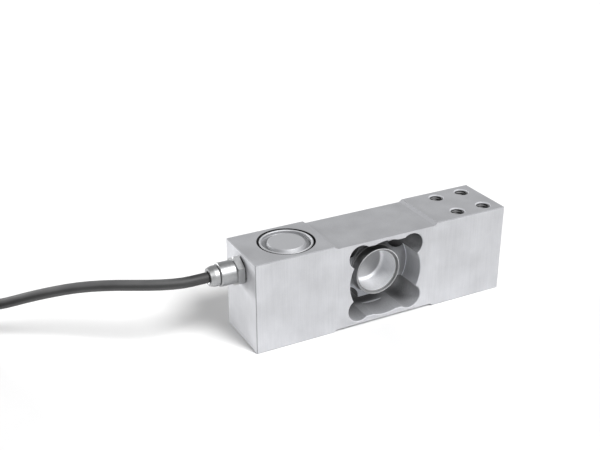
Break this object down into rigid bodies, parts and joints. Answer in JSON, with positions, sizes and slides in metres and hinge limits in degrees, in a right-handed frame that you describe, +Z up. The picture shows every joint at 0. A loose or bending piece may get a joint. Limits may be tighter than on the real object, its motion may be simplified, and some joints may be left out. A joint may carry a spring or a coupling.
{
  "type": "weighing load cell",
  "caption": "Hermetically sealed single-point weighing load cell: a steel beam with a side window, welded gauge cover, round terminal cap, tapped holes, cable gland and cable.",
  "frame": {"origin": "centre of the block's underside", "axes": "+X from the fixed, cable end to the loaded end; +Y from the front face to the rear face; +Z up"},
  "size_m": [0.3621, 0.106, 0.05],
  "materials": {
    "blasted_steel": "fine blasted stainless steel, satin",
    "drawn_steel": "bright drawn stainless steel sheet",
    "pressed_steel": "pressed stainless steel, satin with a welded rim",
    "plated_brass": "nickel plate, bright",
    "black_rubber": "black rubber",
    "cable_jacket": "black polyurethane jacket, soft sheen",
    "tie_nylon": "black nylon cable tie",
    "circuit_board": "green solder mask",
    "resistor_lacquer": "blue lacquer",
    "gauge_foil": "amber polyimide film",
    "wire_enamel": "copper wire in clear enamel",
    "insulation_red": "red insulation",
    "insulation_black": "black insulation",
    "insulation_green": "green insulation",
    "insulation_white": "white insulation"
  },
  "bodies": {
    "root": {"beam_body": "blasted_steel", "cable": "cable_jacket", "cable_coil": "cable_jacket", "coil_ties": "tie_nylon", "core_black": "insulation_black", "core_green": "insulation_green", "core_red": "insulation_red", "core_white": "insulation_white", "front_collar": "drawn_steel", "front_cup": "drawn_steel", "gauge_wire_lower_left": "wire_enamel", "gauge_wire_lower_right": "wire_enamel", "gauge_wire_upper_left": "wire_enamel", "gauge_wire_upper_right": "wire_enamel", "gland_body": "plated_brass", "gland_bush": "black_rubber", "gland_screw": "plated_brass", "gland_seal": "black_rubber", "gland_washer": "plated_brass", "rear_collar": "drawn_steel", "rear_cup": "drawn_steel", "strain_gauge_lower_left": "gauge_foil", "strain_gauge_lower_right": "gauge_foil", "strain_gauge_upper_left": "gauge_foil", "strain_gauge_upper_right": "gauge_foil", "tail_black": "insulation_black", "tail_green": "insulation_green", "tail_red": "insulation_red", "tail_white": "insulation_white", "terminal_board": "circuit_board", "terminal_cap": "pressed_steel", "trim_resistor_front": "resistor_lacquer", "trim_resistor_rear": "resistor_lacquer"}
  },
  "joints": []
}
